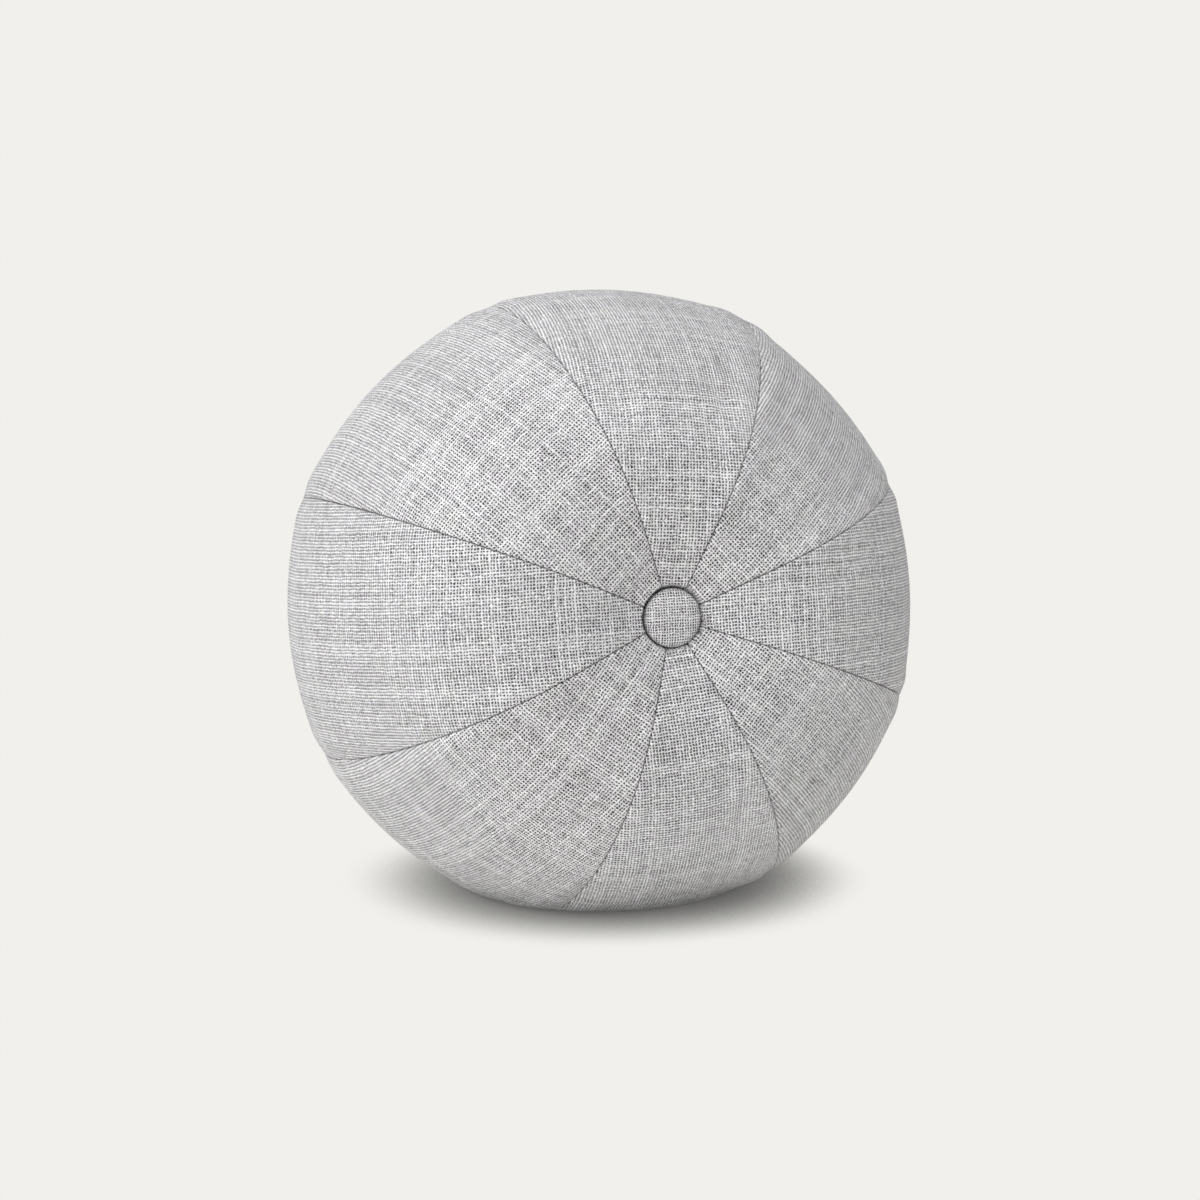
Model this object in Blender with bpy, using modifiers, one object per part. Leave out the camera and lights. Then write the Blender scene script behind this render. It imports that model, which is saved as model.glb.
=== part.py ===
"""Ball cushion: eight cloth gores over one stuffed ball, tufted at both poles with covered buttons.

Metres, +Z up. The ball stands on its small flat spot, which is centred on the origin. The line through
its poles runs nearly level: the front pole looks along -Y and tips up a little. A clock angle goes
round that line from the top of the ball, clockwise as seen from the front, and a polar angle goes over
the ball from the front pole, at 0, to the back pole, at 180 degrees.
"""

from math import asin, cos, exp, pi, radians, sin

import bmesh
import bpy
from mathutils import Matrix, Vector

MM = 0.001

# The stuffed form
RADIUS = 150 * MM  # from the pole line to the seams at the widest ring
POLE_SHARE = 0.97  # distance from centre to pole before tufting, as a share of RADIUS
TUFT_DEPTH = 35 * MM  # how far the cord pulls each pole in
TUFT_SPREAD = 56 * MM  # where that pull has fallen to about a third
TUFT_POWER = 1.75
POLE_TILT = radians(7)
FLAT_SAG = 15 * MM  # how much the floor takes off the bottom
FLAT_BLEND = 3 * MM  # height over which the flat spot rounds up into the ball

# The seat that the cord pulls each button into
SEAT_DEPTH = 8 * MM
SEAT_INNER = 12.8 * MM  # the flat bottom of the seat
SEAT_OUTER = 15.3 * MM
ASIDE = 1.3 * MM  # how far off the pole line the cord comes out, to the right and as much down
ASIDE_SPREAD = 32 * MM  # where the cloth has followed it by about a third

# Seams and cloth
SEAM_DEPTH = 0.8 * MM  # how far the stitching draws the cloth in
SEAM_HALF_WIDTH = 3.5 * MM
CLOTH = 1.2 * MM
GAP = 0.3 * MM  # between any two pieces

# One row for each gore, clockwise from the top: the clock angle of the seam that it starts at, in
# degrees, how proud that seam stands at the widest ring, and how proud the gore's middle stands, in mm.
GORES = (
    # name, seam_clock, seam_proud, middle_proud
    ("gore_1", -19, 1.0, -0.3),
    ("gore_2", 27, 2.3, -1.3),
    ("gore_3", 68, -0.3, -1.7),
    ("gore_4", 110, 0.5, -0.2),
    ("gore_5", 152, 1.3, 0.0),
    ("gore_6", 195, 0.5, -0.5),
    ("gore_7", 244, -0.2, -0.8),
    ("gore_8", 292, 0.6, -0.7),
)

# How finely the form is faceted
TUFT_RINGS = (5, 12.8, 15.3, 20.5, 29, 41, 56, 72)  # mm from the pole line, on each side
BODY_RINGS = 5  # from the last of those to the widest ring, and as many again behind it
PLAIN_COLUMNS = 5  # across a gore, between the two narrow columns along its seams
BUTTON_STEPS = 24

# Covered button: a padded cap over a flat base
BUTTON_RADIUS = 13.3 * MM
BUTTON_BASE_RADIUS = 10.9 * MM
BUTTON_SIDE = 4.5 * MM  # height of the widest ring over the base
BUTTON_HEIGHT = 9 * MM
BUTTON_EDGE_POWER = 3.2  # how square the cap's shoulder is: 2 would be an ellipse
CAP_POINTS = 6

CLOTH_GREY = (0.52, 0.52, 0.53, 1)
STUFFING_WHITE = (0.8, 0.8, 0.78, 1)


def clear_scene():
    for old in list(bpy.data.objects):
        bpy.data.objects.remove(old, do_unlink=True)


def new_collection(name):
    made = bpy.data.collections.new(name)
    bpy.context.scene.collection.children.link(made)
    return made


def matte(name, colour, roughness):
    made = bpy.data.materials.new(name)
    made.use_nodes = True
    shader = made.node_tree.nodes["Principled BSDF"]
    shader.inputs["Base Color"].default_value = colour
    shader.inputs["Roughness"].default_value = roughness
    shader.inputs["Metallic"].default_value = 0
    made.diffuse_color = colour
    return made


def smooth_step(low, high, value):
    share = min(max((value - low) / (high - low), 0), 1)
    return share * share * (3 - 2 * share)


def ring_angles():
    """The polar angle of each ring of the form, from the front pole to the back one."""
    tuft = [asin(distance * MM / RADIUS) for distance in TUFT_RINGS]
    step = (pi / 2 - tuft[-1]) / BODY_RINGS
    front = tuft + [tuft[-1] + step * number for number in range(1, BODY_RINGS)]
    return front + [pi / 2] + [pi - angle for angle in reversed(front)]


def gore_columns():
    """Places across a gore, from -1 at one seam to 1 at the next."""
    seam_edge = 1 - SEAM_HALF_WIDTH / (RADIUS * sin(pi / len(GORES)))
    plain = [seam_edge * (2 * number / PLAIN_COLUMNS - 1) for number in range(PLAIN_COLUMNS + 1)]
    return [-1] + plain + [1]


RINGS = ring_angles()
COLUMNS = gore_columns()


def gore_width(number):
    """The clock angle between a gore's two seams."""
    start = GORES[number][1]
    end = GORES[(number + 1) % len(GORES)][1]
    return radians((end - start) % 360)


def proud_by(number, across):
    """How far the cloth stands out from the round at this place across a gore, at the widest ring."""
    _, _, seam_here, middle = GORES[number]
    seam_next = GORES[(number + 1) % len(GORES)][2]
    seam = seam_here + (seam_next - seam_here) * (1 + across) / 2
    stitched = 1 if abs(across) == 1 else 0
    return (middle + (seam - middle) * across * across) * MM - SEAM_DEPTH * stitched


def tufted_height(distance):
    """Height of the tufted dome over the middle of the ball, at this distance from the pole line."""
    dome = POLE_SHARE * RADIUS * cos(asin(min(distance / RADIUS, 1)))
    return dome - TUFT_DEPTH * exp(-((distance / TUFT_SPREAD) ** TUFT_POWER))


def half_thickness(distance):
    """Height of the cloth over the middle of the ball, with the flat-bottomed seat for the button."""
    seat = tufted_height(SEAT_OUTER) - SEAT_DEPTH
    share = smooth_step(SEAT_INNER, SEAT_OUTER, distance)
    return seat + (tufted_height(distance) - seat) * share


FRONT = Vector((0, -cos(POLE_TILT), sin(POLE_TILT)))
UP = Vector((0, sin(POLE_TILT), cos(POLE_TILT)))
RIGHT = Vector((1, 0, 0))
CENTRE = Vector((0, 0, RADIUS - FLAT_SAG))
CORD_SHIFT = (RIGHT - UP) * ASIDE


def pressed_flat(point):
    """The floor pushes up what would lie below it, with a small rounded edge round the flat spot."""
    if point.z < -FLAT_BLEND:
        height = 0
    elif point.z < FLAT_BLEND:
        height = (point.z + FLAT_BLEND) ** 2 / (4 * FLAT_BLEND)
    else:
        height = point.z
    return Vector((point.x, point.y, height))


def form_point(number, across, polar, shift):
    """The cloth's outer face at a place across a gore and over the ball, moved round the ball by shift."""
    distance = RADIUS * sin(polar)
    height = half_thickness(distance) if polar < pi / 2 else -half_thickness(distance)
    clock = radians(GORES[number][1]) + gore_width(number) * (1 + across) / 2 + shift / distance
    reach = distance + proud_by(number, across) * sin(polar) ** 2
    outward = UP * cos(clock) + RIGHT * sin(clock)
    aside = CORD_SHIFT * exp(-((distance / ASIDE_SPREAD) ** 2))
    return pressed_flat(CENTRE + FRONT * height + outward * reach + aside)


def finish_object(name, form, material, parts):
    """Turns a bmesh into a named object of the parts collection."""
    mesh = bpy.data.meshes.new(name)
    form.to_mesh(mesh)
    form.free()
    mesh.materials.append(material)
    mesh.polygons.foreach_set("use_smooth", [True] * len(mesh.polygons))
    made = bpy.data.objects.new(name, mesh)
    parts.objects.link(made)
    return made


def lay_grid(form, number, gap):
    """Adds a flat grid to form and lays it over the ball between two seams, half the gap short of each."""
    columns, rings = len(COLUMNS) - 1, len(RINGS) - 1
    corners = bmesh.ops.create_grid(form, x_segments=columns, y_segments=rings, size=1)["verts"]
    for corner in corners:
        across = COLUMNS[round((corner.co.x + 1) / 2 * columns)]
        polar = RINGS[round((corner.co.y + 1) / 2 * rings)]
        corner.co = form_point(number, across, polar, -across * gap / 2)
    faces = list({face for corner in corners for face in corner.link_faces})
    bmesh.ops.triangulate(form, faces=faces, quad_method="FIXED")


def gore(number, material, parts):
    """One gore's grid, given the cloth's thickness inwards."""
    form = bmesh.new()
    lay_grid(form, number, GAP)
    made = finish_object(GORES[number][0], form, material, parts)
    thick = made.modifiers.new("cloth", "SOLIDIFY")
    thick.thickness = CLOTH
    thick.offset = -1
    return made


def stuffed_ball(material, parts):
    """All the gores' grids welded along the seams, closed at the poles and drawn in under the cloth."""
    form = bmesh.new()
    for number in range(len(GORES)):
        lay_grid(form, number, 0)
    bmesh.ops.remove_doubles(form, verts=form.verts, dist=0.01 * MM)
    bmesh.ops.holes_fill(form, edges=form.edges, sides=0)
    bmesh.ops.recalc_face_normals(form, faces=form.faces)
    form.normal_update()
    drawn_in = [corner.co - corner.normal * (CLOTH + GAP) for corner in form.verts]
    for corner, place in zip(form.verts, drawn_in):
        corner.co = place
    return finish_object("stuffed_ball", form, material, parts)


def button_profile():
    """Half of the button's outline, from the middle of its cap down its outer side to its base."""
    cap = []
    for number in range(CAP_POINTS):
        share = number / CAP_POINTS
        radius = BUTTON_RADIUS * sin(pi / 2 * share)
        fall = 1 - (radius / BUTTON_RADIUS) ** BUTTON_EDGE_POWER
        rise = (BUTTON_HEIGHT - BUTTON_SIDE) * fall ** (1 / BUTTON_EDGE_POWER)
        cap.append((radius, BUTTON_SIDE + rise))
    return cap + [(BUTTON_RADIUS, BUTTON_SIDE), (BUTTON_BASE_RADIUS, 0), (0, 0)]


def button(name, side, material, parts):
    """The outline turned round the pole line and stood on the cloth at the bottom of its seat."""
    form = bmesh.new()
    corners = [form.verts.new((radius, 0, height)) for radius, height in button_profile()]
    for first, second in zip(corners, corners[1:]):
        form.edges.new((first, second))
    made = finish_object(name, form, material, parts)
    turn = made.modifiers.new("turned", "SCREW")
    turn.steps = BUTTON_STEPS
    turn.render_steps = BUTTON_STEPS
    turn.use_merge_vertices = True
    turn.merge_threshold = 0.01 * MM
    turn.use_smooth_shade = True
    seat = CENTRE + FRONT * side * (half_thickness(0) + GAP) + CORD_SHIFT
    facing = Matrix((RIGHT * side, UP, FRONT * side)).transposed()
    made.matrix_world = Matrix.Translation(seat) @ facing.to_4x4()
    return made


def main():
    clear_scene()
    parts = new_collection("ball_cushion")
    cloth = matte("woven_linen_look_cloth", CLOTH_GREY, 0.9)
    button_cloth = matte("button_cloth", CLOTH_GREY, 0.9)
    stuffing = matte("polyester_stuffing", STUFFING_WHITE, 1)
    stuffed_ball(stuffing, parts)
    for number in range(len(GORES)):
        gore(number, cloth, parts)
    button("front_button", 1, button_cloth, parts)
    button("back_button", -1, button_cloth, parts)


main()
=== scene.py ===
# %% [markdown]
# # A ball cushion
# The cushion is eight leaf-shaped panels of linen-look cloth, called gores, sewn edge to edge round one
# stuffed ball. A cord through the filling pulls a covered button into each pole. This lesson starts from the
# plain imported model, which fixes every size and place, and makes the surface that the eye sees: cloth that
# the filling pushes out, seams that turn inwards, gathers round the buttons, and a weave made of nodes.

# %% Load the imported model
from math import asin, cos, pi, radians, sin

import bpy
import numpy as np
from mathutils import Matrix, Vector


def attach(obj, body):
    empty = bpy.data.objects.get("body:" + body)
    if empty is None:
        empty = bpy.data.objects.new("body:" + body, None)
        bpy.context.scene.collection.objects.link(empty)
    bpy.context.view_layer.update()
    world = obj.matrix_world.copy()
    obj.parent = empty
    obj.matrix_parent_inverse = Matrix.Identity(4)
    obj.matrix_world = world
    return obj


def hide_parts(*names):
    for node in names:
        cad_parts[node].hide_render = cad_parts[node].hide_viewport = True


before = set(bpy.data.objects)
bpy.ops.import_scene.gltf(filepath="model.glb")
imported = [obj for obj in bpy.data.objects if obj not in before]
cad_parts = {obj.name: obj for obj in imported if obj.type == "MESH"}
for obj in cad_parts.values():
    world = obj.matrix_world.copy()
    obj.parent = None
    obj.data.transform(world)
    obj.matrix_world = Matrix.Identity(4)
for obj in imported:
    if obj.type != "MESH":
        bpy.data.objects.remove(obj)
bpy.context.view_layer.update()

# %% [markdown]
# ## Small helpers
# Colours are written as the hex values that a colour picker shows. Shaders work in linear light, so one
# function turns hex into linear. A second one adds a shader node with its settings and its links, and every
# material below is built from it: a value that is a socket is linked, and any other value is set. It gives
# back the node's output, ready to be linked into the next node.

# %% Colour and node helpers
MM = 0.001


def linear(hex_colour):
    """An sRGB hex colour as linear red, green, blue and alpha."""
    channels = [int(hex_colour[start:start + 2], 16) / 255 for start in (1, 3, 5)]
    return [c / 12.92 if c <= 0.04045 else ((c + 0.055) / 1.055) ** 2.4 for c in channels] + [1]


def add(tree, kind, sockets=(), output=0, **settings):
    """Adds a node, sets its properties, fills its inputs by name or number, and returns one output."""
    node = tree.nodes.new("ShaderNode" + kind)
    for name, value in settings.items():
        setattr(node, name, value)
    for name, value in dict(sockets).items():
        if isinstance(value, bpy.types.NodeSocket):
            tree.links.new(value, node.inputs[name])
        else:
            node.inputs[name].default_value = value
    return node.outputs[output] if node.outputs else None


# %% [markdown]
# ## The form of the ball
# Every sewn ball is a little uneven. A table gives each gore the clock angle of the seam that it starts at,
# counted clockwise from the top as seen from the front, and how far that seam and the gore's middle stand
# out from a true circle. Seams are the stiffest lines, so they stand up as soft ridges between the gores.
#
# Seen from the side, the tufting cord pulls each pole in. A bell curve taken off the dome does that, and the
# button then sits in a small steep-sided seat. The floor presses a flat spot into the bottom. Building the
# form from these few numbers, and not by sculpting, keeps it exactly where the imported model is.

# %% Sizes of the form
RADIUS = 150 * MM  # from the pole line to the seams at the widest ring
POLE_SHARE = 0.97  # distance from centre to pole before tufting, as a share of RADIUS
TUFT_DEPTH = 35 * MM  # how far the cord pulls each pole in
TUFT_SPREAD = 56 * MM  # where that pull has fallen to about a third
TUFT_POWER = 1.75
POLE_TILT = radians(7)
FLAT_SAG = 15 * MM  # how much the floor takes off the bottom
FLAT_BLEND = 3 * MM  # height over which the flat spot rounds up into the ball
SEAT_DEPTH = 8 * MM
SEAT_INNER = 12.8 * MM  # the flat bottom of the seat
SEAT_OUTER = 14.9 * MM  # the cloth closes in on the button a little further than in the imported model
ASIDE = 1.3 * MM  # how far off the pole line the cord comes out
ASIDE_SPREAD = 32 * MM  # where the cloth has followed it by about a third

GORES = (
    # name, seam_clock (degrees), seam_proud (mm), middle_proud (mm)
    ("gore_1", -19, 1.0, -0.3),
    ("gore_2", 27, 2.3, -1.3),
    ("gore_3", 68, -0.3, -1.7),
    ("gore_4", 110, 0.5, -0.2),
    ("gore_5", 152, 1.3, 0.0),
    ("gore_6", 195, 0.5, -0.5),
    ("gore_7", 244, -0.2, -0.8),
    ("gore_8", 292, 0.6, -0.7),
)

FRONT = np.array((0, -cos(POLE_TILT), sin(POLE_TILT)))
UP = np.array((0, sin(POLE_TILT), cos(POLE_TILT)))
RIGHT = np.array((1, 0, 0))
CENTRE = np.array((0, 0, RADIUS - FLAT_SAG))
CORD_SHIFT = (RIGHT - UP) * ASIDE

# %% The form as a function of two angles
def smooth_step(low, high, value):
    """A share that eases from 0 at low to 1 at high."""
    share = np.clip((value - low) / (high - low), 0, 1)
    return share * share * (3 - 2 * share)


def tufted_height(distance):
    """Height of the tufted dome over the middle of the ball, at a distance from the pole line."""
    dome = POLE_SHARE * np.sqrt(np.maximum(RADIUS ** 2 - distance ** 2, 0))
    return dome - TUFT_DEPTH * np.exp(-((distance / TUFT_SPREAD) ** TUFT_POWER))


def half_thickness(distance):
    """The same with the button's seat in it."""
    seat = tufted_height(SEAT_OUTER) - SEAT_DEPTH
    return seat + (tufted_height(distance) - seat) * smooth_step(SEAT_INNER, SEAT_OUTER, distance)


def gore_width(number):
    """The clock angle between a gore's two seams."""
    start, end = GORES[number][1], GORES[(number + 1) % len(GORES)][1]
    return radians((end - start) % 360)


def pressed_flat(points):
    """The floor pushes up what would lie below it, with a small rounded edge round the flat spot."""
    height = points[..., 2]
    rounded = (height + FLAT_BLEND) ** 2 / (4 * FLAT_BLEND)
    points[..., 2] = np.where(height < -FLAT_BLEND, 0, np.where(height < FLAT_BLEND, rounded, height))
    return points


def form_points(number, across, polar):
    """The cloth's outer face. across runs from -1 at a gore's first seam to 1 at its second one."""
    _, first_seam, seam_here, middle = GORES[number]
    seam_next = GORES[(number + 1) % len(GORES)][2]
    clock = radians(first_seam) + gore_width(number) * (1 + across) / 2
    seam = seam_here + (seam_next - seam_here) * (1 + across) / 2
    proud = (middle + (seam - middle) * across ** 2) * MM
    distance = RADIUS * np.sin(polar)
    height = np.where(polar < pi / 2, 1, -1) * half_thickness(distance)
    reach = distance + proud * np.sin(polar) ** 2
    outward = np.cos(clock)[..., None] * UP + np.sin(clock)[..., None] * RIGHT
    aside = np.exp(-((distance / ASIDE_SPREAD) ** 2))[..., None] * CORD_SHIFT
    return pressed_flat(CENTRE + height[..., None] * FRONT + reach[..., None] * outward + aside)


def form_normals(number, across, polar):
    """The direction that the cloth faces, from four points close by."""
    step = 0.001  # radians over the ball, and a share of half a gore across it
    along = form_points(number, across, polar + step) - form_points(number, across, polar - step)
    round_ball = form_points(number, across + step, polar) - form_points(number, across - step, polar)
    facing = np.cross(round_ball, along)
    return facing / np.linalg.norm(facing, axis=-1, keepdims=True)


# %% [markdown]
# ## A mesh from a grid of points
# The gores, the filling and the buttons are all sheets of points with rows and columns, so one function
# makes a mesh from such a grid. A grid that goes all the way round joins its last column to its first.

# %% Mesh helper
def grid_object(name, points, closed=False, capped=False):
    """A mesh object with a face between each four neighbouring points of a rows by columns grid."""
    rows, columns = points.shape[:2]
    index = np.arange(rows * columns).reshape(rows, columns)
    if closed:
        index = np.column_stack((index, index[:, 0]))
    corners = (index[:-1, :-1], index[:-1, 1:], index[1:, 1:], index[1:, :-1])
    faces = np.stack(corners, axis=-1).reshape(-1, 4).tolist()
    if capped:
        faces += [index[0, :-1][::-1].tolist(), index[-1, :-1].tolist()]
    mesh = bpy.data.meshes.new(name)
    mesh.from_pydata(points.reshape(-1, 3), [], faces)
    mesh.shade_smooth()
    made = bpy.data.objects.new(name, mesh)
    bpy.context.scene.collection.objects.link(made)
    return made


# %% [markdown]
# ## The filling pushes the cloth out
# Real gores are cut a little flat, and the filling swells them until the cloth is tight. Blender's cloth
# simulation does the same. It works on a cage: the whole ball as one coarse closed mesh. Each gore's middle
# starts drawn in, and nothing is drawn in along the seams, at the poles and at the floor.

# %% The cage before it swells
CAGE_COLUMNS = 14  # across one gore
CAGE_ROWS = 76
SLACK = 1.5 * MM  # how far the middles start inside the form
FREE_SINE = (0.1, 0.5)  # the sines of the polar angles between which the slack comes in
ON_FLOOR = 1 * MM  # what is lower than this is held by the floor
OFF_FLOOR = 12 * MM  # and what is higher than this is free of it

cage_polar = np.linspace(asin(SEAT_OUTER / RADIUS), pi - asin(SEAT_OUTER / RADIUS), CAGE_ROWS)
cage_across = np.linspace(-1, 1, CAGE_COLUMNS + 1)


def cage():
    """The ball's points in rings from pole to pole, their normals, and how far in each point starts."""
    points, normals, drawn_in = [], [], []
    for number in range(len(GORES)):
        across, polar = np.meshgrid(cage_across[:-1], cage_polar)
        surface, facing = form_points(number, across, polar), form_normals(number, across, polar)
        free = smooth_step(*FREE_SINE, np.sin(polar)) * smooth_step(ON_FLOOR, OFF_FLOOR, surface[..., 2])
        inside = SLACK * (1 - across ** 4) * free
        points.append(surface - facing * inside[..., None])
        normals.append(facing)
        drawn_in.append(inside)
    return [np.concatenate(parts, axis=1) for parts in (points, normals, drawn_in)]


print("a cage of", CAGE_ROWS, "rings of", CAGE_COLUMNS * len(GORES), "points")

# %% [markdown]
# The seams, the poles and the flat spot are pinned, and pressure pushes the rest out. The cloth may give by
# a hundredth, which a negative shrink says, and gravity is off, because the filling carries the cloth. How
# far a point may move is capped, so the ball keeps its size. What is kept is only the distance that each
# point moved, as a smooth relief that the fine gores take on afterwards.

# %% Simulate the relief
MOST_SWELL = 2.5 * MM  # the cap on how far a point may move
SIMULATED_FRAMES = 20
CLOTH_SETTINGS = {
    "quality": 6,
    "mass": 0.3,
    "tension_stiffness": 15,
    "compression_stiffness": 15,
    "shear_stiffness": 5,
    "bending_stiffness": 0.5,
    "shrink_min": -0.01,
    "use_pressure": True,
    "uniform_pressure_force": 20,
}


def swollen(points, pinned):
    """The cage after the cloth simulation, as points in the same grid."""
    mesh = grid_object("pressure_cage", points, closed=True, capped=True)
    held = mesh.vertex_groups.new(name="held")
    held.add([int(number) for number in np.flatnonzero(pinned)], 1, "REPLACE")
    cloth = mesh.modifiers.new("cloth", "CLOTH")
    for setting, value in CLOTH_SETTINGS.items():
        setattr(cloth.settings, setting, value)
    cloth.settings.vertex_group_mass = held.name
    cloth.settings.effector_weights.gravity = 0
    cloth.collision_settings.use_collision = False
    scene = bpy.context.scene
    cloth.point_cache.frame_end = SIMULATED_FRAMES
    for number in range(1, SIMULATED_FRAMES + 1):
        scene.frame_set(number)
    evaluated = mesh.evaluated_get(bpy.context.evaluated_depsgraph_get())
    moved = np.empty(len(evaluated.data.vertices) * 3)
    evaluated.data.vertices.foreach_get("co", moved)
    scene.frame_set(1)
    bpy.data.objects.remove(mesh, do_unlink=True)
    return moved.reshape(points.shape)


def cage_relief():
    """How far outside or inside the form each cage point ends, in metres."""
    points, normals, start = cage()
    pinned = points[..., 2] < ON_FLOOR
    pinned[:2] = pinned[-2:] = True
    pinned[:, ::CAGE_COLUMNS] = True
    moved = np.sum((swollen(points, pinned) - points) * normals, axis=-1)
    print("the filling pushed the cloth out by up to", round(moved.max() * 1000, 2), "mm")
    return np.clip(moved, 0, MOST_SWELL) - start


RELIEF = cage_relief()
print("relief from", round(RELIEF.min() * 1000, 2), "to", round(RELIEF.max() * 1000, 2), "mm")

# %% [markdown]
# The relief is known at the cage's points only. A Catmull-Rom curve runs smoothly through known points, so
# used along the rows and then across them it gives the relief anywhere, with no facets.

# %% Read the relief anywhere
def catmull_rom(samples, place):
    """The smooth curve through samples, along their first axis, at fractional index place."""
    last = len(samples) - 1
    index = np.clip(np.floor(place).astype(int), 0, last - 1)
    share = (place - index).reshape(-1, *[1] * (samples.ndim - 1))
    before, here, after, beyond = (samples[np.clip(index + step, 0, last)] for step in (-1, 0, 1, 2))
    slope_here, slope_after = (after - before) / 2, (beyond - here) / 2
    rest = here - after
    return here + share * (slope_here + share * (-3 * rest - 2 * slope_here - slope_after
                           + share * (2 * rest + slope_here + slope_after)))


def relief_at(number, across, polar):
    """The relief on a gore's own grid: across holds its columns, one row for each polar angle."""
    start = number * CAGE_COLUMNS
    columns = np.arange(start, start + CAGE_COLUMNS + 1) % RELIEF.shape[1]
    rows_at = np.interp(polar[:, 0], cage_polar, np.arange(CAGE_ROWS))
    rows = catmull_rom(RELIEF[:, columns], rows_at)
    place = (np.clip(across, -1, 1) + 1) / 2 * CAGE_COLUMNS
    return np.stack([catmull_rom(row, spots) for row, spots in zip(rows, place)])


# %% [markdown]
# ## The gores
# Each gore is a sheet of cloth. Along a seam both neighbours roll over and go down side by side, where the
# stitching holds them, and what shows is a fine dark line in a shallow furrow. Lines drawn on one smooth
# ball would be simpler, but they catch no light and vanish at the outline. So each gore is a sheet of its
# own, and each row of its points comes up out of the seam, goes round a quarter circle, crosses the gore,
# and goes down again. Points cost memory, so they are close together only where the cloth bends sharply: at
# the button's seat and at the seams.

# %% Rows from pole to pole
TIP = 9 * MM  # where a gore ends under the button, measured from the pole line
FINEST_ROW = 0.35 * MM  # in the button's seat and on its edge
EDGE_OF_SEAT = 1.5 * MM  # how far outside the seat the finest rows go on
ROW_GROWTH = 0.07  # how much wider each row is for its distance from that edge
WIDEST_ROW = 2.3 * MM


def ring_polars():
    """Polar angles of the rows: close together where the cloth turns into the seat, wider on the ball."""
    polar, angles = asin(TIP / RADIUS), []
    while polar < pi / 2:
        angles.append(polar)
        beyond_seat = max(RADIUS * sin(polar) - SEAT_OUTER - EDGE_OF_SEAT, 0)
        polar += min(FINEST_ROW + ROW_GROWTH * beyond_seat, WIDEST_ROW) / RADIUS
    front = np.array(angles) * (pi / 2 / polar)
    front[0] = angles[0]
    return np.concatenate((front, [pi / 2], pi - front[::-1]))


ring_polar = ring_polars()
print(len(ring_polar), "rows from pole to pole")

# %% Columns across a gore
ROLL = 0.8 * MM  # radius of the cloth's turn into a seam
ROLL_STEPS = 5
ALLOWANCE = 1.5 * MM  # how much further down the turned-in edge goes
SEAM_CLEARANCE = 0.15 * MM  # from the seam's middle to each of its two walls
SEAM_BAND = 3 * MM  # the columns are spaced in millimetres this near a seam, and in shares between
BAND_SHARE = 0.35  # near the poles the band shrinks to this share of the gore's width
SETTLE = 0.7 * MM  # flat cloth between the roll and the first column of the middle
MIDDLE_COLUMNS = 60


def edge_profile():
    """Distance in from the seam and height under the surface for the columns that roll over."""
    turns = np.linspace(0, pi / 2, ROLL_STEPS + 1)
    inwards = ROLL * (1 - np.cos(turns))
    below = ROLL * (1 - np.sin(turns))
    inwards = np.concatenate(([0], inwards)) + SEAM_CLEARANCE
    return inwards, np.concatenate(([ROLL + ALLOWANCE], below))


def gore_grid(number):
    """across, polar and depth under the surface for each point of a gore's grid.

    Near the poles a gore is narrow, so the columns along its seams are squeezed to fit.
    """
    inwards, below = edge_profile()
    inwards, below = np.append(inwards, ROLL + SETTLE), np.append(below, 0)
    polar = ring_polar[:, None]
    arc = RADIUS * np.sin(polar) * gore_width(number)
    squeeze = np.minimum(1, arc * BAND_SHARE / SEAM_BAND)
    band = 2 * SEAM_BAND * squeeze / arc
    near = 2 * inwards * squeeze / arc
    shares = np.linspace(-1, 1, MIDDLE_COLUMNS + 1)
    across = np.concatenate((near - 1, shares * (1 - band), 1 - near[:, ::-1]), axis=1)
    depth = np.concatenate((below, np.zeros(len(shares)), below[::-1])) * squeeze
    return across, np.broadcast_to(polar, across.shape), depth


print(gore_grid(0)[0].shape[1], "columns across a gore")

# %% [markdown]
# Round each button the cloth is drawn together, and the surplus makes small radial gathers. They are
# stronger on one side, where the cord pulls harder. A sine raised to a high power is nearly zero except at
# its narrow peaks, and these, taken off the cloth, are the folds between the gathers.

# %% Gathers round the buttons
GATHERS = 54  # round one button; real ones are finer, but would not show
GATHER_RISE = 0.5 * MM
GATHER_DEPTH = 1.4 * MM  # from the top of a gather to the bottom of the fold beside it
FOLD_POWER = 8  # how narrow the folds are between the gathers
GATHER_DRIFT = 7  # how often their spacing widens and narrows again on one round
GATHER_REACH = 2 * MM  # how far out they have faded to about a third
HARD_PULL = radians(130)  # the clock angle where the cord pulls hardest
LEAST_PULL = 0.2  # the share of that pull that is left on the far side


def gathers(number, across, polar):
    """Small radial ripples that fade away from the seat."""
    clock = radians(GORES[number][1]) + gore_width(number) * (1 + across) / 2
    beyond = np.maximum(RADIUS * np.sin(polar) - SEAT_OUTER, 0)
    pull = np.maximum(np.cos(clock - HARD_PULL), 0) ** 2
    strength = LEAST_PULL + (1 - LEAST_PULL) * pull
    folds = np.sin(GATHERS / 2 * clock + np.sin(GATHER_DRIFT * clock) / 2) ** FOLD_POWER
    return (GATHER_RISE - GATHER_DEPTH * folds) * strength * np.exp(-beyond / GATHER_REACH)


# %% [markdown]
# A gore is cut on the straight grain: the warp runs along its own centre line from pole to pole, and the
# weft lies square to it. The weave is drawn from a UV map that holds that flat cloth in real metres. On a
# ball, the point at a distance u to the side of the centre line and v along it is found as on a globe
# turned sideways.

# %% Flat cloth coordinates
CLOTH = "cloth"  # the UV map's name
ARC_ENDS = 0.02  # how near each pole the measured arc ends, in radians
ARC_STEPS = 2000


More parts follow.
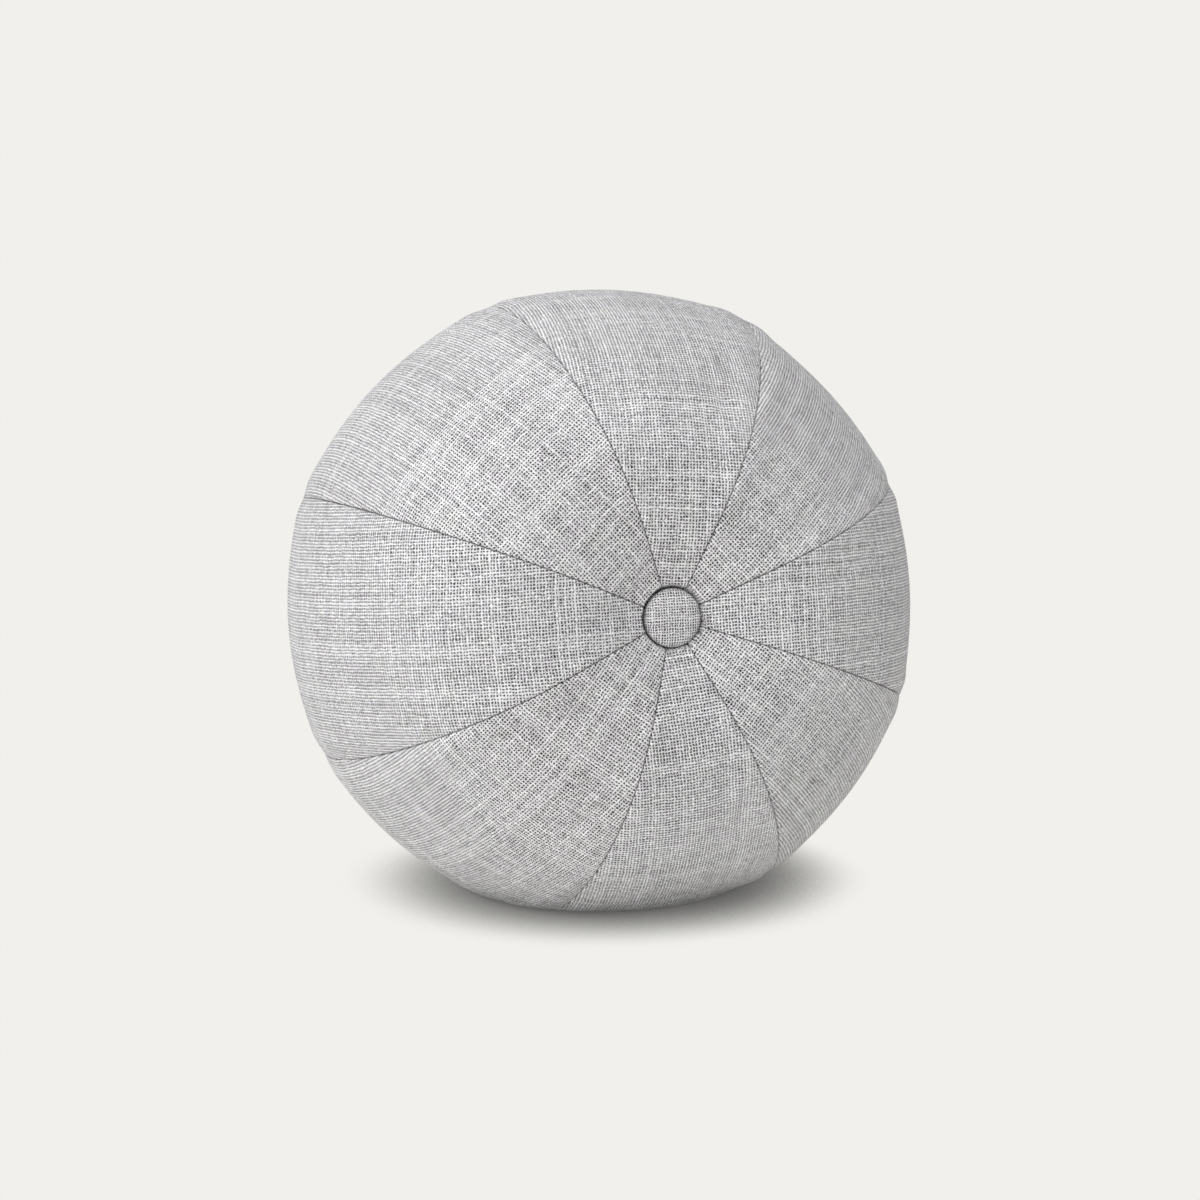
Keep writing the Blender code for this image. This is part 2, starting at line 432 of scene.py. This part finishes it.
def arc_lengths():
    """Polar angles and how much cloth lies between each and the widest ring, along a centre line."""
    polar = np.linspace(ARC_ENDS, pi - ARC_ENDS, ARC_STEPS)
    distance = RADIUS * np.sin(polar)
    height = np.where(polar < pi / 2, 1, -1) * half_thickness(distance)
    steps = np.hypot(np.diff(distance), np.diff(height))
    length = np.concatenate(([0], np.cumsum(steps)))
    return polar, length - length[len(length) // 2]


ARC_POLAR, ARC_LENGTH = arc_lengths()
print("a gore is", round((ARC_LENGTH[-1] - ARC_LENGTH[0]) * 1000), "mm long on its centre line")


def cloth_coordinates(number, across, polar):
    """Where each point lies on the flat cloth: metres to the side, and metres along the grain.

    Each gore is cut a metre further on, so no two show the same stretch of yarns.
    """
    offset = gore_width(number) * across / 2
    sideways = RADIUS * np.arcsin(np.sin(polar) * np.sin(offset))
    turned = np.arctan2(np.sin(polar) * np.cos(offset), np.cos(polar))
    along = np.interp(turned, ARC_POLAR, ARC_LENGTH)
    return np.stack((sideways + number, along + number), axis=-1)


def set_uv(made, coordinates):
    """Gives each corner of each face the flat coordinates of its point."""
    layer = made.data.uv_layers.new(name=CLOTH)
    corners = np.empty(len(made.data.loops), int)
    made.data.loops.foreach_get("vertex_index", corners)
    layer.data.foreach_set("uv", coordinates.reshape(-1, 2)[corners].ravel())


# %% [markdown]
# The two walls of a seam have to stand side by side, so both follow the mean of the two gores' directions
# there, and each turns to its own gore's direction further in. Solidify then gives the sheet its
# thickness, towards the filling.

# %% Make the gores
CLOTH_THICKNESS = 1.0 * MM


def seam_normals(number, side):
    """The mean direction of the two gores that meet at a gore's first (-1) or second (1) seam."""
    ends = np.full_like(ring_polar, side)
    own = form_normals(number, ends, ring_polar)
    other = form_normals((number + side) % len(GORES), -ends, ring_polar)
    return (own + other) / np.linalg.norm(own + other, axis=-1, keepdims=True)


def gore(number):
    """One panel of cloth, with its relief, its gathers and its turned-in edges."""
    across, polar, depth = gore_grid(number)
    own = form_normals(number, across, polar)
    from_seam = (1 - abs(across)) * RADIUS * np.sin(polar) * gore_width(number) / 2
    near = 1 - smooth_step(0, SEAM_BAND, from_seam)
    first, second = (seam_normals(number, side)[:, None] for side in (-1, 1))
    seam = np.where(across[..., None] < 0, first, second)
    facing = own + (seam - own) * near[..., None]
    facing /= np.linalg.norm(facing, axis=-1, keepdims=True)
    raised = relief_at(number, across, polar) + gathers(number, across, polar) - depth
    points = form_points(number, across, polar) + facing * raised[..., None]
    points[..., 2] = np.maximum(points[..., 2], 0)
    made = grid_object(GORES[number][0] + "_cloth", points)
    set_uv(made, cloth_coordinates(number, across, polar))
    thick = made.modifiers.new("thickness", "SOLIDIFY")
    thick.thickness = CLOTH_THICKNESS
    thick.offset = -1
    return made


gores = [gore(number) for number in range(len(GORES))]
print(len(gores), "gores of", len(gores[0].data.polygons), "faces each")

# %% [markdown]
# ## The filling
# Polyester fibre fills the cover and doesn't show. It is still a piece of its own, because an open seam or a
# cut-away view would show it. It is the same form, drawn in under the cloth, with a furrow under each seam
# for the turned-in edges.

# %% Make the filling
FILLING_COLUMNS = 24  # across one gore
UNDER_CLOTH = 2 * MM
FURROW_DEPTH = 2.6 * MM  # how much further in it goes under a seam
FURROW_WIDTH = 3 * MM  # where that has fallen to about a third


def filling():
    """The stuffed body that the gores are stretched over."""
    polar = ring_polar[::2]
    columns = []
    for number in range(len(GORES)):
        across, rows = np.meshgrid(np.linspace(-1, 1, FILLING_COLUMNS + 1)[:-1], polar)
        arc = RADIUS * np.sin(rows) * gore_width(number)
        from_seam = (1 - abs(across)) * arc / 2
        inwards = UNDER_CLOTH + FURROW_DEPTH * np.exp(-((from_seam / FURROW_WIDTH) ** 2))
        raised = relief_at(number, across, rows) - inwards
        facing = form_normals(number, across, rows)
        columns.append(form_points(number, across, rows) + facing * raised[..., None])
    points = np.concatenate(columns, axis=1)
    points[..., 2] = np.maximum(points[..., 2], UNDER_CLOTH)
    return grid_object("fibre_filling", points, closed=True, capped=True)


stuffing = filling()

# %% [markdown]
# ## The covered buttons
# A covered button is a metal shell with a disc of the same cloth pulled over it and gathered behind.
# Its top is a shallow dome with a rounded edge. A flattened sphere would be too pointed at the rim, and a
# bevelled disc too flat on top. A power of a sine and a cosine gives an outline in between: it is an ellipse
# at a power of 1, and its shoulder gets squarer as the power falls.

# %% The button's outline
BUTTON_RADIUS = 13.3 * MM
BUTTON_BASE = 10.9 * MM  # radius of the flat base
BUTTON_SIDE = 4.5 * MM  # height of the widest ring over the base
BUTTON_HEIGHT = 9 * MM
DOME_POWER = 2.7  # how square the shoulder is: 2 would be an ellipse
DOME_START = 0.02  # share of a quarter turn where the profile starts, so the middle isn't a point
DOME_STEPS = 26
SIDE_STEPS = 8


def button_outline():
    """Distance from the middle and height over the base, from near the middle of the dome to the base."""
    turn = np.linspace(DOME_START, 1, DOME_STEPS) * pi / 2
    distance = BUTTON_RADIUS * np.sin(turn) ** (2 / DOME_POWER)
    height = BUTTON_SIDE + (BUTTON_HEIGHT - BUTTON_SIDE) * np.cos(turn) ** (2 / DOME_POWER)
    under = np.linspace(0, 1, SIDE_STEPS + 1)[1:]
    side = BUTTON_BASE + (BUTTON_RADIUS - BUTTON_BASE) * np.sqrt(1 - under ** 2)
    return np.append(distance, side), np.append(height, BUTTON_SIDE * (1 - under))


print("a button", round(BUTTON_RADIUS * 2000), "mm across and", round(BUTTON_HEIGHT * 1000), "mm high")

# %% [markdown]
# The outline is turned round the pole line. The cloth's small pleats only show under the rim, so they come
# in below it. The button leans a little to the side where the cord pulls harder, and the flat cloth is laid
# on it from the middle outwards, at the length that it has over the dome.

# %% Make the buttons
BUTTON_COLUMNS = 144
PLEATS = 30
PLEAT_DEPTH = 0.25 * MM
PLEATS_FROM = BUTTON_SIDE + 1.5 * MM  # the height over the base where the pleats begin
PLEATS_FULL = BUTTON_SIDE - 2 * MM  # and where they are at their deepest
SEAT_GAP = 0.3 * MM
LEAN = radians(2.5)
LEANS_TO = radians(120)  # the clock angle of the side where the cord pulls harder


def button(name, side):
    """A button on the front (1) or the back (-1) pole."""
    distance, height = button_outline()
    clock = np.arange(BUTTON_COLUMNS) * 2 * pi / BUTTON_COLUMNS
    low = smooth_step(PLEATS_FROM, PLEATS_FULL, height)
    pleated = distance[:, None] - PLEAT_DEPTH * low[:, None] * (1 + np.sin(PLEATS * clock)) / 2
    away = CENTRE + CORD_SHIFT + FRONT * side * (half_thickness(np.array(0.0)) + SEAT_GAP)
    spokes = np.cos(clock)[:, None] * UP + np.sin(clock)[:, None] * RIGHT * side
    leaning = height[:, None] - pleated * np.sin(LEAN) * np.cos(clock - LEANS_TO * side)
    points = away + leaning[..., None] * FRONT * side + pleated[..., None] * spokes
    made = grid_object(name, points, closed=True, capped=True)
    steps = np.hypot(np.diff(distance), np.diff(height))
    out = np.concatenate(([distance[0]], distance[0] + np.cumsum(steps)))[:, None]
    set_uv(made, np.stack((out * np.sin(clock) - 1, out * np.cos(clock)), axis=-1))
    return made


front_button = button("front_button_cloth", 1)
back_button = button("back_button_cloth", -1)
print("2 buttons of", len(front_button.data.polygons), "faces each")

# %% [markdown]
# ## Linen-look cloth
# The cloth is polyester yarn spun to look like linen and woven one over, one under. White and mid-grey
# fibres are twisted together, so each yarn changes from light to dark along its length, and slubs make some
# stretches thick and pale. The yarns don't fill the cloth: between each four of them is a small square hole,
# and the shade in it is painted as a dark colour. These holes give the cloth its grain. The surface is matt,
# with a faint sheen from loose fibres. A picture of such cloth would blur close up and repeat over the ball.
# A weave made of nodes stays sharp and never repeats, and each of its causes has a number that can be
# changed.
#
# The yarns lie nearly 1.5 mm apart. Divided by that spacing, a flat coordinate counts the yarns, and a sine
# of it is a wave: its size gives the round of every yarn, and its sign tells the odd yarns from the even
# ones. The product of both sets' waves then says which yarn passes over at each crossing. What makes it
# look like linen is that nothing is quite even: the spacing, the thickness and the shade of the yarns, the
# size of the holes and the darkness of the shade painted in them all vary, each by its own noise.

# %% The weave's sizes
YARN_SPACING = 1.45 * MM
BUTTON_YARN_SPACING = 1.25 * MM  # buttons are covered with a finer piece, which bends round the rim
YARN_EDGE = (0.62, 0.9)  # where on its wave a yarn's side begins and ends
YARN_RISE = 0.4  # how much higher a yarn is where it passes over than where it passes under
WEAVE_DEPTH = 0.45 * MM
RELIEF_STRENGTH = 0.9  # how much of that depth the bump shows

UNEVEN = 0.28  # how far neighbouring yarns lie from even spacing, in yarns
UNEVEN_STEP = 1.3  # along the noise that sets this, from one yarn to the next
SEED_STEP = 31  # along the same noise, from one seed to the next
WARP_SEED, WEFT_SEED = 5.0, 9.0
DRIFTS = (  # how far the yarns stray from straight, and over what length
    (0.7 * MM, 17 * MM),
    (0.9 * MM, 2.6 * MM),
    (0.45 * MM, 1.1 * MM),
)

SLUB_LENGTH = 14 * MM
SLUB_STEP = 7.3  # across the noise of the slubs, from one yarn to the next
SLUB_SWELL = 0.25  # how much of a yarn's width comes and goes along it
NAP_LENGTH = 0.9 * MM  # loose fibres close some holes and not others
NAP_SWELL = 0.7

# A yarn's shade lies between a dark and a light colour, and this is what each cause adds to it
SHADE_START = -0.38
SHADE_OF_WARP = 0.2  # from one yarn to the next, in each set: the weft is the more uneven one
SHADE_OF_WEFT = 0.45
SHADE_OF_SLUB = 0.6
SHADE_OF_NAP = 0.9
SHADE_OF_CROSSING = 0.5

CAST_LENGTH = 9 * MM  # the size of the patches that are a little cooler or warmer
COOL_CAST, WARM_CAST = linear("#f7f3fb"), linear("#f8faf5")
# the holes' colour is painted shade: this is the palest, and each weave gives its own darkest
PALEST_HOLE_SHADE = linear("#6f6d70")


# %% The two sets of yarn
def yarn_set(tree, counts, nap, axis, other, spacing, seed, own_shade):
    """One set's wave, the cover that its yarns give, their shade, and the number of each yarn."""
    even, along = counts.node.outputs[axis], counts.node.outputs[other]
    place = add(tree, "Math", {0: even, 1: UNEVEN_STEP, 2: seed * SEED_STEP}, operation="MULTIPLY_ADD")
    shift = add(tree, "TexNoise", {"W": place, "Scale": 1.0, "Detail": 0.0}, noise_dimensions="1D")
    count = add(tree, "Math", {0: shift, 1: UNEVEN, 2: even}, operation="MULTIPLY_ADD")
    turn = add(tree, "Math", {0: count, 1: pi}, operation="MULTIPLY")
    wave = add(tree, "Math", {0: turn}, operation="SINE")
    number = add(tree, "Math", {0: count}, operation="FLOOR")

    apart = add(tree, "Math", {0: number, 1: SLUB_STEP}, operation="MULTIPLY")
    stretch = add(tree, "Math", {0: along, 1: spacing / SLUB_LENGTH}, operation="MULTIPLY")
    own = add(tree, "CombineXYZ", {0: apart, 1: stretch, 2: seed})
    slub = add(tree, "TexNoise", {"Vector": own, "Scale": 1.0, "Detail": 4.0, "Roughness": 0.7})
    size = add(tree, "Math", {0: wave}, operation="ABSOLUTE")
    swollen_size = add(tree, "Math", {0: slub, 1: SLUB_SWELL, 2: size}, operation="MULTIPLY_ADD")
    fluffy_size = add(tree, "Math", {0: nap, 1: NAP_SWELL, 2: swollen_size}, operation="MULTIPLY_ADD")
    low, high = (edge + (SLUB_SWELL + NAP_SWELL) / 2 for edge in YARN_EDGE)
    cover = add(tree, "MapRange", {"Value": fluffy_size, "From Min": low, "From Max": high},
                interpolation_type="SMOOTHSTEP")

    chance = add(tree, "TexWhiteNoise", {"W": number}, "Value", noise_dimensions="1D")
    start = SHADE_START - own_shade / 2
    plain = add(tree, "Math", {0: chance, 1: own_shade, 2: start}, operation="MULTIPLY_ADD")
    shade = add(tree, "Math", {0: slub, 1: SHADE_OF_SLUB, 2: plain}, operation="MULTIPLY_ADD")
    return wave, cover, shade, number


# %% [markdown]
# The two sets are laid on the flat cloth and woven. At each crossing the higher yarn is what shows, and
# where neither set covers the cloth there is a hole. The same height goes to a bump, which shades the
# rounds of the yarns without any extra points.

# %% Weave the two sets
def laid_on_grain(tree, flat, spacing):
    """The flat cloth's coordinates as counts of yarns, with the small wanderings of the yarns in them."""
    laid = flat
    for far, length in DRIFTS:
        stray = add(tree, "TexNoise", {"Vector": flat, "Scale": 1 / length, "Detail": 1.0}, "Color")
        laid = add(tree, "VectorMath", {0: stray, 1: (far, far, 0), 2: laid}, operation="MULTIPLY_ADD")
    counted = add(tree, "VectorMath", {0: laid, "Scale": 1 / spacing}, operation="SCALE")
    return add(tree, "SeparateXYZ", {0: counted})


def woven(tree, warp, weft, warp_cover, weft_cover):
    """The cloth's height, 1 where the warp is what shows, and how far any yarn covers the cloth."""
    over = add(tree, "Math", {0: warp, 1: weft}, operation="MULTIPLY")
    warp_rise = add(tree, "Math", {0: over, 1: YARN_RISE, 2: 1 - YARN_RISE}, operation="MULTIPLY_ADD")
    weft_rise = add(tree, "Math", {0: over, 1: -YARN_RISE, 2: 1 - YARN_RISE}, operation="MULTIPLY_ADD")
    warp_height = add(tree, "Math", {0: warp_cover, 1: warp_rise}, operation="MULTIPLY")
    weft_height = add(tree, "Math", {0: weft_cover, 1: weft_rise}, operation="MULTIPLY")
    height = add(tree, "Math", {0: warp_height, 1: weft_height}, operation="MAXIMUM")
    warp_shows = add(tree, "Math", {0: warp_height, 1: weft_height}, operation="GREATER_THAN")
    covered = add(tree, "Math", {0: warp_cover, 1: weft_cover}, operation="MAXIMUM")
    return height, warp_shows, covered


# %% Colour the yarns, and paint the shade in the holes
def cloth_colour(tree, flat, shade, chance, covered, light, dark, deepest_hole_shade):
    """Yarns between dark and light with a faint cool or warm cast, and painted shade in the holes, darker in
    some.
    """
    yarn = add(tree, "Mix", {"Factor": shade, "A": dark, "B": light}, "Result", data_type="RGBA")
    patch = add(tree, "TexNoise", {"Vector": flat, "Scale": 1 / CAST_LENGTH, "Detail": 2.0})
    cast = add(tree, "Mix", {"Factor": patch, "A": COOL_CAST, "B": WARM_CAST}, "Result", data_type="RGBA")
    tinted = add(tree, "Mix", {"Factor": 1.0, "A": yarn, "B": cast}, "Result", data_type="RGBA",
                 blend_type="MULTIPLY")
    # each hole's painted shade lies by chance between the darkest and the palest
    painted_hole_shade = add(tree, "Mix", {"Factor": chance, "A": deepest_hole_shade, "B": PALEST_HOLE_SHADE}, "Result", data_type="RGBA")
    # where no yarn covers the cloth the painted shade shows, and each yarn's sides fade into it as painted
    # shade of its round
    return add(tree, "Mix", {"Factor": covered, "A": painted_hole_shade, "B": tinted}, "Result", data_type="RGBA")


# %% Build the cloth
def linen_look_cloth(name, spacing, light, dark, deepest_hole_shade):
    """A plain weave in a light and a dark shade of yarn, with the painted shade of its deepest holes."""
    made = bpy.data.materials.new(name)
    made.use_nodes = True
    tree = made.node_tree
    tree.nodes.clear()
    flat = add(tree, "UVMap", uv_map=CLOTH)
    counts = laid_on_grain(tree, flat, spacing)
    nap = add(tree, "TexNoise", {"Vector": flat, "Scale": 1 / NAP_LENGTH, "Detail": 2.0, "Roughness": 0.6})
    warp, warp_cover, warp_shade, warp_number = yarn_set(
        tree, counts, nap, "X", "Y", spacing, WARP_SEED, SHADE_OF_WARP)
    weft, weft_cover, weft_shade, weft_number = yarn_set(
        tree, counts, nap, "Y", "X", spacing, WEFT_SEED, SHADE_OF_WEFT)
    height, warp_shows, covered = woven(tree, warp, weft, warp_cover, weft_cover)

    crossing = add(tree, "CombineXYZ", {0: warp_number, 1: weft_number})
    chance = add(tree, "TexWhiteNoise", {"Vector": crossing}, "Value", noise_dimensions="2D")
    shown = add(tree, "Mix", {"Factor": warp_shows, "A": weft_shade, "B": warp_shade}, "Result",
                data_type="FLOAT")
    napped = add(tree, "Math", {0: nap, 1: SHADE_OF_NAP, 2: shown}, operation="MULTIPLY_ADD")
    shade = add(tree, "Math", {0: chance, 1: SHADE_OF_CROSSING, 2: napped}, operation="MULTIPLY_ADD",
                use_clamp=True)

    colour = cloth_colour(tree, flat, shade, chance, covered, light, dark, deepest_hole_shade)
    bump = add(tree, "Bump", {"Height": height, "Distance": WEAVE_DEPTH, "Strength": RELIEF_STRENGTH})
    cloth = add(tree, "BsdfPrincipled", {
        "Base Color": colour, "Roughness": 0.92, "Specular IOR Level": 0.25,
        "Sheen Weight": 0.1, "Sheen Roughness": 0.5, "Normal": bump})
    add(tree, "OutputMaterial", {"Surface": cloth})
    return made


# the third colour of each weave is the painted shade in its deepest holes
gore_cloth = linen_look_cloth("linen_look_polyester_weave", YARN_SPACING,
                              linear("#ffffff"), linear("#c6c5c7"), linear("#101010"))
button_cloth = linen_look_cloth("linen_look_weave_on_button", BUTTON_YARN_SPACING,
                                linear("#ffffff"), linear("#d4d3d5"), linear("#161516"))
print("yarns", round(YARN_SPACING * 1000, 2), "mm apart, and", round(BUTTON_YARN_SPACING * 1000, 2),
      "mm on the buttons")

# %% [markdown]
# ## Polyester filling
# Crimped polyester staple is white, and scatters light in all directions. Separate strands would cost far
# too much for what hardly ever shows, and fine noise stretched along one way reads as fibres.

# %% Build the filling's material
FIBRES_A_METRE = (900, 200, 500)
CLUMPS_A_METRE = 45.0
CLUMP_SHARE = 0.4
FIBRE_DEPTH = 1.5 * MM


def fibre_filling():
    """White fibres in soft clumps, with painted shade where the fibres lie low."""
    made = bpy.data.materials.new("polyester_fibre_filling")
    made.use_nodes = True
    tree = made.node_tree
    tree.nodes.clear()
    place = add(tree, "TexCoord", output="Object")
    combed = add(tree, "Mapping", {"Vector": place, "Scale": FIBRES_A_METRE})
    fibres = add(tree, "TexNoise", {"Vector": combed, "Scale": 1.0, "Detail": 6.0, "Roughness": 0.7})
    clumps = add(tree, "TexNoise", {"Vector": place, "Scale": CLUMPS_A_METRE, "Detail": 3.0})
    loft = add(tree, "Mix", {"Factor": CLUMP_SHARE, "A": fibres, "B": clumps}, "Result", data_type="FLOAT")
    # grey where the loft is low and white where it is high: painted shade in the hollows between fibres and
    # clumps
    colour = add(tree, "Mix", {"Factor": loft, "A": linear("#c9c8c4"), "B": linear("#f4f3f0")}, "Result",
                 data_type="RGBA")
    bump = add(tree, "Bump", {"Height": loft, "Distance": FIBRE_DEPTH, "Strength": 0.8})
    fluff = add(tree, "BsdfPrincipled", {"Base Color": colour, "Roughness": 0.95, "Normal": bump})
    add(tree, "OutputMaterial", {"Surface": fluff})
    return made


stuffing_material = fibre_filling()
print("fibres about", round(1000 / max(FIBRES_A_METRE), 1), "mm apart")

# %% [markdown]
# ## Tell the frame what each piece is
# Every piece rides on the one body, replaces its imported node and names its material slot. The gores are
# sheets that are stretched over the filling.


def dress(piece, node, material):
    """Gives a piece its material and tells the frame which node it takes the place of."""
    piece.data.materials.append(material)
    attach(piece, "root")
    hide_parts(node)


for number, piece in enumerate(gores):
    dress(piece, GORES[number][0], gore_cloth)

dress(stuffing, "stuffed_ball", stuffing_material)
dress(front_button, "front_button", button_cloth)
dress(back_button, "back_button", button_cloth)

# %% [markdown]
# ## Backdrop and light
# The cushion stands in a pale studio with three very large softboxes: the strongest to its left, one high
# over its right side, and a weak one low in front that fills the shade under the ball. Sun lamps stand for
# them: a sun with a wide angle is a light so large and far off that it has the same softness everywhere.
# The backdrop is only seen. It lights nothing, so the softboxes and the floor's glow alone shape the ball.

# %% Backdrop and softboxes
BACKDROP = linear("#f1f0ec")
SOFTBOXES = (
    # name, degrees round from the front towards the right, degrees up, watts a square metre, degrees wide
    ("left_softbox", -83, 32, 2.68, 80),
    ("top_softbox", 78, 69, 1.75, 80),
    ("low_softbox", -16, 4, 1.3, 55),
)

world = bpy.data.worlds.new("studio")
bpy.context.scene.world = world
world.use_nodes = True
sky = world.node_tree.nodes["Background"]
sky.inputs["Color"].default_value = BACKDROP
world.cycles_visibility.diffuse = False


def pointing(azimuth, elevation):
    """The direction from the ball towards a light or the camera, with angles in degrees."""
    azimuth, elevation = radians(azimuth), radians(elevation)
    return Vector((sin(azimuth) * cos(elevation), -cos(azimuth) * cos(elevation), sin(elevation)))


def softbox(name, azimuth, elevation, strength, width):
    data = bpy.data.lights.new(name, "SUN")
    data.energy = strength
    data.angle = radians(width)
    made = bpy.data.objects.new(name, data)
    made.rotation_euler = pointing(azimuth, elevation).to_track_quat("Z", "Y").to_euler()
    bpy.context.scene.collection.objects.link(made)


for row in SOFTBOXES:
    softbox(*row)
print(len(SOFTBOXES), "softboxes")

# %% [markdown]
# ## Floor
# The walls and the floor are one pale paper, so the floor glows with the same light as the backdrop, and
# throws it back onto the underside of the ball. Where the ball closes the sky over the floor, the paper
# falls into shade, and a node that measures how open the surroundings are darkens it there. It looks a
# little to the left, where most light comes from, so the shade lies a little to the right.

# %% Make the floor
FLOOR_SIZE = 4.0
SHADE_REACH = 43 * MM  # how far off the node looks for what closes the paper in
SHADE_SAMPLES = 8
OPEN_SHARE = 0.8  # paper that sees this much of its surroundings is fully lit
DEEPEST_SHADE = 0.1  # what is left of the paper's glow where the ball stands on it
SHADE_LOOKS = (-83, 81)  # where the openness is measured towards, as degrees round and degrees up


def backdrop_paper():
    """Paper that glows as the backdrop does, but for the shade where the ball stands."""
    made = bpy.data.materials.new("matt_backdrop_paper")
    made.use_nodes = True
    tree = made.node_tree
    tree.nodes.clear()
    towards = add(tree, "CombineXYZ", dict(enumerate(pointing(*SHADE_LOOKS))))
    seen = add(tree, "AmbientOcclusion", {"Distance": SHADE_REACH, "Normal": towards}, "AO",
               samples=SHADE_SAMPLES)
    lit = add(tree, "MapRange", {"Value": seen, "From Max": OPEN_SHARE, "To Min": DEEPEST_SHADE},
              interpolation_type="SMOOTHSTEP")
    paper = add(tree, "Emission", {"Color": BACKDROP, "Strength": lit})
    add(tree, "OutputMaterial", {"Surface": paper})
    made.cycles.emission_sampling = "NONE"
    return made


def studio_floor():
    half = FLOOR_SIZE / 2
    corners = np.array([[(-half, -half, 0), (half, -half, 0)], [(-half, half, 0), (half, half, 0)]], float)
    made = grid_object("studio_floor", corners)
    made.data.materials.append(backdrop_paper())
    print("a floor", FLOOR_SIZE, "m wide")


studio_floor()

# %% [markdown]
# ## Camera
# A long lens from nearly ten radii away keeps the ball round, as in a product picture. The camera stands a
# little to the left and a little above, so the front button turns to the right of the middle. The
# Standard view shows each colour as its hex value says, with no film-like curve over it.

# %% Set up the camera
CAMERA_AZIMUTH = -16.4
CAMERA_ELEVATION = 10
CAMERA_DISTANCE = 9.6 * RADIUS
LENS_MM = 90
SENSOR_MM = 36
AIM_ABOVE = 1.7 * MM  # how far over the ball's middle the camera aims

back = pointing(CAMERA_AZIMUTH, CAMERA_ELEVATION)
camera_data = bpy.data.cameras.new("camera")
camera_data.lens = LENS_MM
camera_data.sensor_width = SENSOR_MM
camera = bpy.data.objects.new("camera", camera_data)
camera.location = Vector(CENTRE) + Vector((0, 0, AIM_ABOVE)) + back * CAMERA_DISTANCE
camera.rotation_euler = (-back).to_track_quat("-Z", "Y").to_euler()
bpy.context.scene.collection.objects.link(camera)
bpy.context.scene.camera = camera
bpy.context.scene.view_settings.view_transform = "Standard"
print("camera", round(CAMERA_DISTANCE, 2), "m away, with a", LENS_MM, "mm lens")
